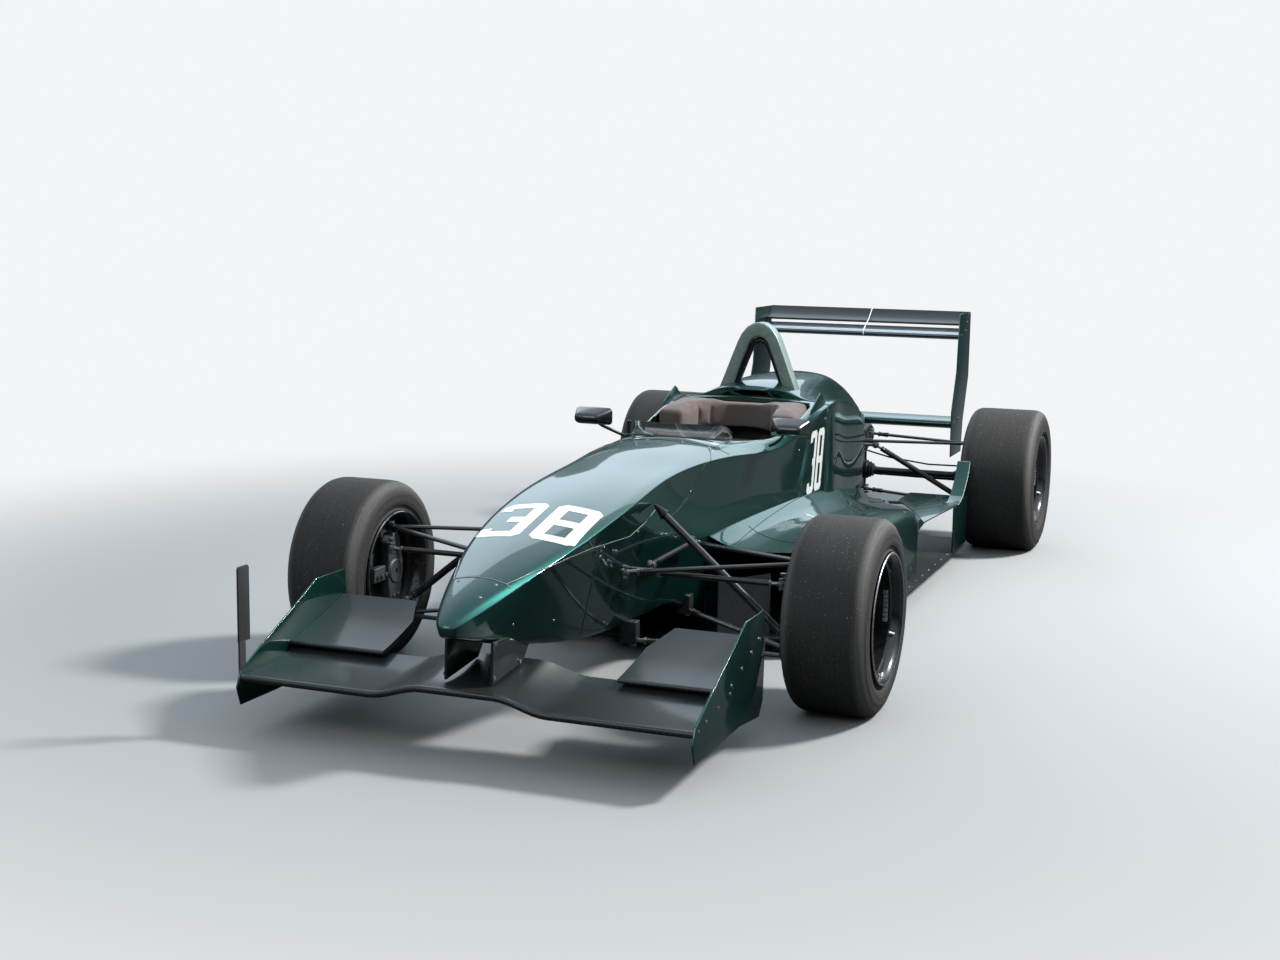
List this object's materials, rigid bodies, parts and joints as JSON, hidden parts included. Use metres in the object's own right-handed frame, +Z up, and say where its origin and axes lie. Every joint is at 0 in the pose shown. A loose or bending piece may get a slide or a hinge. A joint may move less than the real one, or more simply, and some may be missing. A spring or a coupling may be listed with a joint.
{
  "type": "open wheel racing car",
  "caption": "Single seater open wheel racing car with wings, side pods, push rod suspension, slick tyres and working steering",
  "frame": {"origin": "on the ground, under the middle of the car's bounding box", "axes": "+X to the driver's left, -Y the way the car drives, +Z up"},
  "size_m": [1.79, 4.17, 0.972],
  "materials": {
    "green_paint": "metallic green gloss paint on moulded panels",
    "hoop_paint": "pale grey green paint on steel",
    "grey_paint": "blue grey gloss over carbon",
    "clear_screen": "clear moulded acrylic",
    "taupe_cloth": "brown grey cloth over foam",
    "carbon_weave": "carbon twill under clear lacquer",
    "raw_aluminium": "cooling fins, unpainted",
    "gloss_black": "gloss black moulding",
    "matt_black": "matt black strip",
    "satin_black": "satin black powder coat on steel tube",
    "cast_magnesium": "dark sand cast metal",
    "heated_steel": "heat browned steel pipe",
    "red_lens": "red lens over lamps",
    "suede": "black suede grip",
    "slick_rubber": "worn slick tread",
    "black_rim": "gloss black cast wheel with a bright turned edge"
  },
  "bodies": {
    "chassis": {"monocoque": "green_paint", "nose_cone": "green_paint", "front_cover": "green_paint", "engine_cover": "green_paint", "sidepod_left": "green_paint", "sidepod_right": "green_paint", "rear_beam_wing": "green_paint", "front_endplates": "green_paint", "rear_endplates": "green_paint", "cockpit_fins": "green_paint", "roll_hoop": "hoop_paint", "windscreen": "clear_screen", "cockpit_padding": "taupe_cloth", "seat": "carbon_weave", "radiators": "raw_aluminium", "floor": "carbon_weave", "flip_ups": "green_paint", "turning_vanes": "carbon_weave", "mirrors": "gloss_black", "front_wing_main": "carbon_weave", "front_flaps": "carbon_weave", "wing_pylons": "carbon_weave", "timing_strut": "matt_black", "front_wishbones_left": "satin_black", "front_wishbones_right": "satin_black", "rear_wishbones_left": "satin_black", "rear_wishbones_right": "satin_black", "rear_uprights": "cast_magnesium", "engine": "cast_magnesium", "gearbox": "cast_magnesium", "exhaust": "heated_steel", "rear_wing_main": "grey_paint", "rear_wing_flap": "carbon_weave", "crash_structure": "carbon_weave", "rain_light": "red_lens", "steering_column": "satin_black"},
    "knuckle_left": {"knuckle_left": "cast_magnesium"},
    "knuckle_right": {"knuckle_right": "cast_magnesium"},
    "rack": {"steering_rack": "satin_black"},
    "hand_wheel": {"steering_wheel": "suede"},
    "wheel_front_left": {"tyre_front_left": "slick_rubber", "rim_front_left": "black_rim"},
    "wheel_front_right": {"tyre_front_right": "slick_rubber", "rim_front_right": "black_rim"},
    "wheel_rear_left": {"tyre_rear_left": "slick_rubber", "rim_rear_left": "black_rim", "drive_shaft_left": "satin_black"},
    "wheel_rear_right": {"tyre_rear_right": "slick_rubber", "rim_rear_right": "black_rim", "drive_shaft_right": "satin_black"}
  },
  "joints": [
    {"name": "steer_left", "type": "hinge", "parent": "chassis", "child": "knuckle_left", "pos_m": [0.665, -1.155, 0.275], "axis": [0, 0, 1], "range_deg": [-15, 15]},
    {"name": "steer_right", "type": "hinge", "parent": "chassis", "child": "knuckle_right", "pos_m": [-0.665, -1.155, 0.275], "axis": [0, 0, 1], "range_deg": [-15, 15]},
    {"name": "rack_travel", "type": "slide", "parent": "chassis", "child": "rack", "axis": [1, 0, 0], "range_m": [-0.02618, 0.02618]},
    {"name": "steering_wheel_turn", "type": "hinge", "parent": "chassis", "child": "hand_wheel", "pos_m": [0, -0.25, 0.535], "axis": [0, 0.9744, 0.225], "range_deg": [-135, 135]},
    {"name": "spin_front_left", "type": "hinge", "parent": "knuckle_left", "child": "wheel_front_left", "pos_m": [0.76, -1.155, 0.275], "axis": [1, 0, 0], "continuous": true},
    {"name": "spin_rear_left", "type": "hinge", "parent": "chassis", "child": "wheel_rear_left", "pos_m": [0.745, 1.52, 0.29], "axis": [1, 0, 0], "continuous": true},
    {"name": "spin_front_right", "type": "hinge", "parent": "knuckle_right", "child": "wheel_front_right", "pos_m": [-0.76, -1.155, 0.275], "axis": [1, 0, 0], "continuous": true},
    {"name": "spin_rear_right", "type": "hinge", "parent": "chassis", "child": "wheel_rear_right", "pos_m": [-0.745, 1.52, 0.29], "axis": [1, 0, 0], "continuous": true}
  ],
  "couplings": [
    {"joint": "steer_right", "follows": "steer_left", "ratio": 1},
    {"joint": "rack_travel", "follows": "steer_left", "m_per_rad": 0.1},
    {"joint": "steering_wheel_turn", "follows": "steer_left", "ratio": 9}
  ]
}
